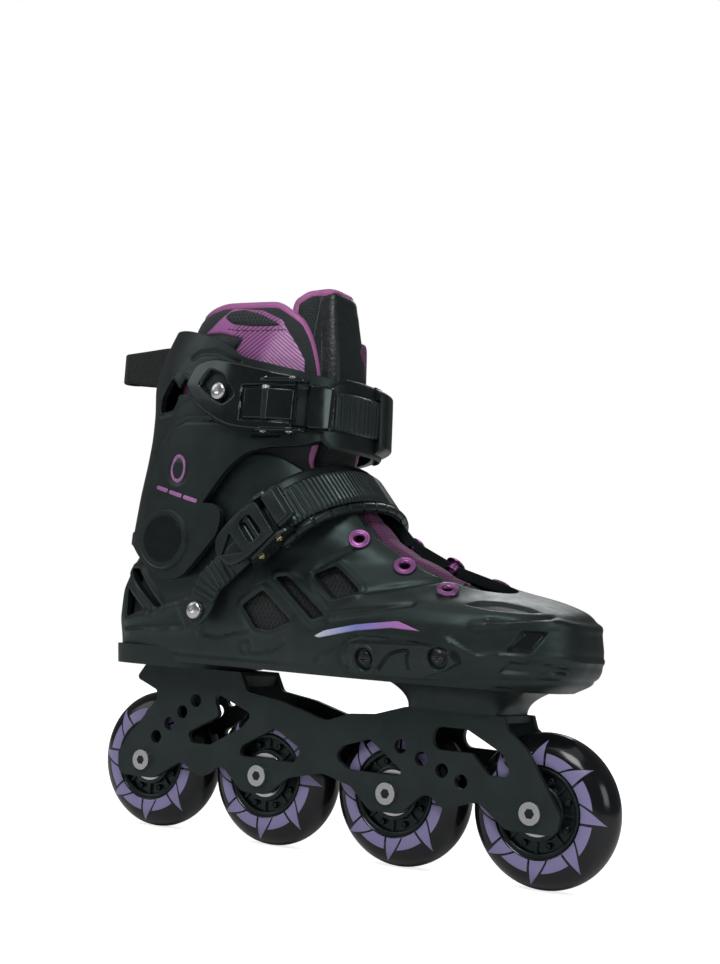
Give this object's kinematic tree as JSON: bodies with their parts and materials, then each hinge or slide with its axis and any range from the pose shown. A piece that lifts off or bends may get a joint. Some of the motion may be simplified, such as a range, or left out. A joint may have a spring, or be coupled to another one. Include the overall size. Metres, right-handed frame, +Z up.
{
  "type": "inline skate",
  "caption": "Inline skate boot for the right foot: moulded shell with hinged ankle cuff, soft liner and tongue, two ratchet buckle straps, and a side-plate frame carrying wheels in a row.",
  "frame": {"origin": "on the ground, midway between the first and the last axle, in the plane of the wheels", "axes": "+X towards the toe, +Y towards the inner side of the foot, +Z up"},
  "size_m": [0.3115, 0.1128, 0.287],
  "materials": {
    "tyre_urethane": "gloss",
    "hub_plastic": "satin",
    "bearing_steel": "polished",
    "frame_paint": "matte",
    "axle_steel": "satin",
    "shell_plastic": "satin",
    "slider_plastic": "satin",
    "screw_steel": "satin",
    "eyelet_metal": "gloss",
    "mesh": "gloss",
    "liner_fabric": "woven",
    "tongue_fabric": "woven",
    "insole_foam": "brushed",
    "webbing": "woven",
    "buckle_plastic": "gloss",
    "strap_plastic": "satin",
    "pin_steel": "polished",
    "pad_rubber": "satin"
  },
  "bodies": {
    "skate": {"frame": "frame_paint", "axle_bolts": "axle_steel", "axle_screws": "axle_steel", "bearing_spacers": "bearing_steel", "bearing_inner_races": "bearing_steel", "frame_mount_bolts": "screw_steel", "frame_mount_washers": "screw_steel", "shell": "shell_plastic", "side_slider": "slider_plastic", "side_slider_screws": "screw_steel", "lace_eyelets": "eyelet_metal", "vent_mesh": "mesh", "liner": "liner_fabric", "tongue": "tongue_fabric", "insole": "insole_foam", "pivot_bolts": "screw_steel", "pivot_nuts": "screw_steel", "instep_buckle_base": "buckle_plastic", "instep_buckle_pins": "pin_steel", "instep_buckle_spring": "screw_steel", "instep_anchor_strap": "strap_plastic", "instep_ladder_strap": "strap_plastic", "instep_strap_pad": "pad_rubber", "instep_strap_screws": "screw_steel"},
    "front_wheel": {"front_tyre": "tyre_urethane", "front_hub": "hub_plastic", "front_bearing_outer_races": "bearing_steel", "front_bearing_balls": "bearing_steel"},
    "second_wheel": {"second_tyre": "tyre_urethane", "second_hub": "hub_plastic", "second_bearing_outer_races": "bearing_steel", "second_bearing_balls": "bearing_steel"},
    "third_wheel": {"third_tyre": "tyre_urethane", "third_hub": "hub_plastic", "third_bearing_outer_races": "bearing_steel", "third_bearing_balls": "bearing_steel"},
    "rear_wheel": {"rear_tyre": "tyre_urethane", "rear_hub": "hub_plastic", "rear_bearing_outer_races": "bearing_steel", "rear_bearing_balls": "bearing_steel"},
    "ankle_cuff": {"cuff": "shell_plastic", "pivot_caps": "shell_plastic", "pull_loop": "webbing", "cuff_buckle_base": "buckle_plastic", "cuff_buckle_pins": "pin_steel", "cuff_buckle_spring": "screw_steel", "cuff_ladder_strap": "strap_plastic", "cuff_strap_shield": "pad_rubber", "cuff_strap_screws": "screw_steel"},
    "cuff_lever": {"cuff_buckle_lever": "buckle_plastic"},
    "cuff_pawl": {"cuff_buckle_pawl": "buckle_plastic"},
    "instep_lever": {"instep_buckle_lever": "buckle_plastic"},
    "instep_pawl": {"instep_buckle_pawl": "buckle_plastic"}
  },
  "joints": [
    {"name": "front_wheel_spin", "type": "hinge", "parent": "skate", "child": "front_wheel", "pos_m": [0.1135, 0, 0.036], "axis": [0, 1, 0], "continuous": true},
    {"name": "second_wheel_spin", "type": "hinge", "parent": "skate", "child": "second_wheel", "pos_m": [0.03784, 0, 0.036], "axis": [0, 1, 0], "continuous": true},
    {"name": "third_wheel_spin", "type": "hinge", "parent": "skate", "child": "third_wheel", "pos_m": [-0.03784, 0, 0.036], "axis": [0, 1, 0], "continuous": true},
    {"name": "rear_wheel_spin", "type": "hinge", "parent": "skate", "child": "rear_wheel", "pos_m": [-0.1135, 0, 0.036], "axis": [0, 1, 0], "continuous": true},
    {"name": "cuff_flex", "type": "hinge", "parent": "skate", "child": "ankle_cuff", "pos_m": [-0.088, 0, 0.1525], "axis": [0, 1, 0], "range_deg": [-3, 8], "stiffness_Nm_per_rad": 6, "deforming": ["liner", "tongue"]},
    {"name": "cuff_lever_lift", "type": "hinge", "parent": "ankle_cuff", "child": "cuff_lever", "pos_m": [-0.01428, -0.04765, 0.221], "axis": [0, 0, 1], "range_deg": [0, 65]},
    {"name": "cuff_pawl_lift", "type": "hinge", "parent": "ankle_cuff", "child": "cuff_pawl", "pos_m": [-0.02818, -0.05014, 0.221], "axis": [0, 0, -1], "range_deg": [0, 12], "stiffness_Nm_per_rad": 0.01},
    {"name": "instep_lever_lift", "type": "hinge", "parent": "skate", "child": "instep_lever", "pos_m": [-0.01896, -0.0538, 0.16398], "axis": [-0.6481, 0, 0.7615], "range_deg": [0, 65]},
    {"name": "instep_pawl_lift", "type": "hinge", "parent": "skate", "child": "instep_pawl", "pos_m": [-0.02962, -0.052, 0.15491], "axis": [0.6481, 0, -0.7615], "range_deg": [0, 12], "stiffness_Nm_per_rad": 0.01}
  ]
}
